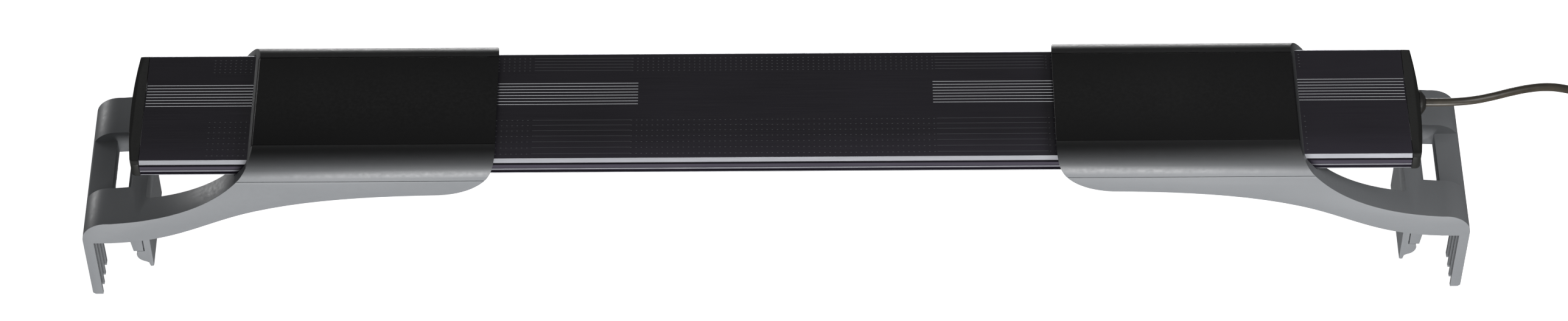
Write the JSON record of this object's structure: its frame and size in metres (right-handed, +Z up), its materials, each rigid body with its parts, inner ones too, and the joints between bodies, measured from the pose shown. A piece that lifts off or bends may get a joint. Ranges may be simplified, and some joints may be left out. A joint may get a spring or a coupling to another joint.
{
  "type": "led aquarium light",
  "caption": "Flat extruded LED light bar for an aquarium, with sliding plastic end brackets that hook over the tank's end panes, and a coiled low-voltage lead.",
  "frame": {"origin": "centre of the bounding box's bottom, between the brackets' feet, without the free cord", "axes": "+X along the bar towards the end that the cord leaves, -Y front, +Z up"},
  "size_m": [1.0153, 0.0986, 0.1236],
  "materials": {
    "anodised_aluminium": "black anodised, satin",
    "white_board": "white solder mask",
    "clear_acrylic": "clear, polished",
    "black_cap_plastic": "fine matt",
    "grey_silicone": "matt",
    "screw_steel": "zinc plated",
    "grey_bracket_plastic": "satin, fine grain",
    "black_cover_plastic": "semi-gloss",
    "cord_jacket": "smooth flexible jacket",
    "red_wire": "insulation",
    "black_wire": "insulation",
    "terminal_plastic": "moulded",
    "nickel_plate": "nickel plated"
  },
  "bodies": {
    "light_bar": {"bar_housing": "anodised_aluminium", "led_board_left": "white_board", "led_board_centre": "white_board", "led_board_right": "white_board", "lens_cover": "clear_acrylic", "board_screw_1": "screw_steel", "board_screw_2": "screw_steel", "board_screw_3": "screw_steel", "board_screw_4": "screw_steel", "board_screw_5": "screw_steel", "board_screw_6": "screw_steel", "jumper_wire_1": "red_wire", "jumper_wire_2": "black_wire", "jumper_wire_3": "red_wire", "jumper_wire_4": "black_wire", "lead_wire_red": "red_wire", "lead_wire_black": "black_wire", "terminal_block": "terminal_plastic", "left_end_cap": "black_cap_plastic", "right_end_cap": "black_cap_plastic", "left_end_gasket": "grey_silicone", "right_end_gasket": "grey_silicone", "left_front_cap_screw": "screw_steel", "left_back_cap_screw": "screw_steel", "right_front_cap_screw": "screw_steel", "right_back_cap_screw": "screw_steel", "cable_gland": "black_cap_plastic", "cord_lead": "cord_jacket", "cord_coil": "cord_jacket", "cord_tail": "cord_jacket", "cord_tie": "black_wire", "connector_body": "black_wire", "connector_barrel": "nickel_plate"},
    "left_slider": {"left_bracket": "grey_bracket_plastic", "left_sleeve_cover": "black_cover_plastic"},
    "right_slider": {"right_bracket": "grey_bracket_plastic", "right_sleeve_cover": "black_cover_plastic"},
    "left_clip": {"left_glass_clip": "grey_bracket_plastic"},
    "right_clip": {"right_glass_clip": "grey_bracket_plastic"}
  },
  "joints": [
    {"name": "left_bracket_slide", "type": "slide", "parent": "light_bar", "child": "left_slider", "axis": [-1, 0, 0], "range_m": [-0.02, 0.09]},
    {"name": "right_bracket_slide", "type": "slide", "parent": "light_bar", "child": "right_slider", "axis": [1, 0, 0], "range_m": [-0.02, 0.09]},
    {"name": "left_clip_flex", "type": "hinge", "parent": "left_slider", "child": "left_clip", "pos_m": [-0.38295, 0, 0.047], "axis": [0, -1, 0], "range_deg": [0, 6], "stiffness_Nm_per_rad": 2},
    {"name": "right_clip_flex", "type": "hinge", "parent": "right_slider", "child": "right_clip", "pos_m": [0.38295, 0, 0.047], "axis": [0, 1, 0], "range_deg": [0, 6], "stiffness_Nm_per_rad": 2}
  ]
}
